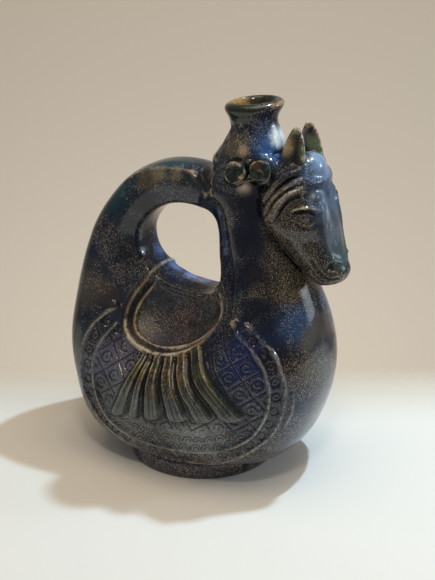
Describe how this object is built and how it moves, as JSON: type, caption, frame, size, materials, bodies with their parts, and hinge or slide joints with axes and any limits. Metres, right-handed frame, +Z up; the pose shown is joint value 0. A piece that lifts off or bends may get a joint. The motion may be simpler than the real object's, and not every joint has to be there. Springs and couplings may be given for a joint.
{
  "type": "horse-head ewer",
  "caption": "Hollow glazed stoneware ewer cast as a saddled horse: looped ring body with a handle opening, bulb neck and flared mouth behind the head, low foot ring.",
  "frame": {"origin": "on the plane the foot ring stands on, under the middle of the bounding box", "axes": "+X the way the horse faces, +Y to the horse's left flank, +Z up through the mouth"},
  "size_m": [0.207, 0.1326, 0.2673],
  "materials": {
    "night_glaze": "hard gloss, nearly black blue with fine golden and cream speckles"
  },
  "bodies": {
    "root": {"ewer": "night_glaze"}
  },
  "joints": []
}
